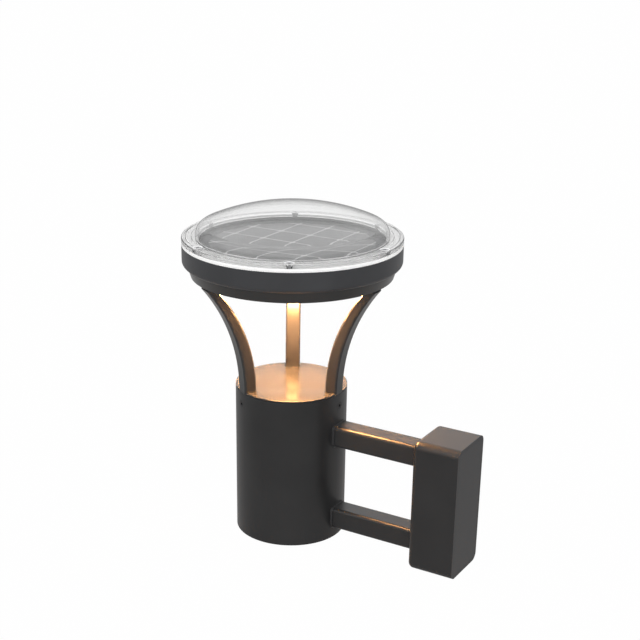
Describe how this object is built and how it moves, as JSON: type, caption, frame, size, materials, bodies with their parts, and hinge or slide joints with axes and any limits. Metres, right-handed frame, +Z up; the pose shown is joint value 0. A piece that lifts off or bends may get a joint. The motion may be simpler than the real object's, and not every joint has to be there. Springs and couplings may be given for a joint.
{
  "type": "solar bollard light",
  "caption": "Solar bollard light: a round domed solar head on three curved struts above a short tube, held off the wall by two arms and a slim wall box.",
  "frame": {"origin": "centre of the wall plate's back face, in the wall plane", "axes": "+Y into the wall, so the light stands out along -Y; +Z up along the tube's axis; +X to the right seen from in front of the wall"},
  "size_m": [0.2176, 0.3106, 0.3447],
  "materials": {
    "charcoal_paint": "satin",
    "top_disc_paint": "satin",
    "pad_paint": "satin",
    "plate_paint": "satin",
    "clear_plastic": "clear polished",
    "white_rubber": "smooth",
    "black_rubber": "smooth",
    "solar_cell": "glossy",
    "panel_back": "glossy",
    "stainless": "brushed",
    "dark_screw": "satin",
    "opal_plastic": "opal",
    "white_plastic": "matt",
    "white_board": "matt",
    "light_chip": "glossy",
    "black_plastic": "matt",
    "battery_wrap": "glossy",
    "green_board": "matt",
    "board_part": "matt",
    "red_button": "glossy"
  },
  "bodies": {
    "body": {"clear_cover": "clear_plastic", "cover_gasket": "white_rubber", "cover_screws": "stainless", "solar_panel": "panel_back", "solar_cells": "solar_cell", "head_housing": "charcoal_paint", "strut_frame": "charcoal_paint", "frame_screws": "dark_screw", "foot_screws": "dark_screw", "lens": "opal_plastic", "lens_seal": "black_rubber", "lens_spacer": "white_plastic", "led_board": "white_board", "led_chips": "light_chip", "led_board_screws": "stainless", "battery_tray": "black_plastic", "battery_cells": "battery_wrap", "tray_screws": "stainless", "control_board": "green_board", "board_parts": "board_part", "board_screws": "stainless", "switch_body": "black_plastic", "switch_nut": "stainless", "cap_disc": "top_disc_paint", "base_tube": "charcoal_paint", "bottom_cap": "black_plastic", "upper_arm": "charcoal_paint", "lower_arm": "charcoal_paint", "upper_pad": "pad_paint", "lower_pad": "pad_paint", "tube_bolts": "stainless", "tube_washers": "stainless", "box_bolts": "stainless", "box_washers": "stainless", "wall_box": "charcoal_paint", "wall_plate": "plate_paint", "wall_box_screws": "dark_screw"},
    "button": {"switch_button": "red_button"}
  },
  "joints": [
    {"name": "switch_press", "type": "slide", "parent": "body", "child": "button", "axis": [0, 0, 1], "range_m": [0, 0.0012], "stiffness_N_per_m": 800}
  ]
}
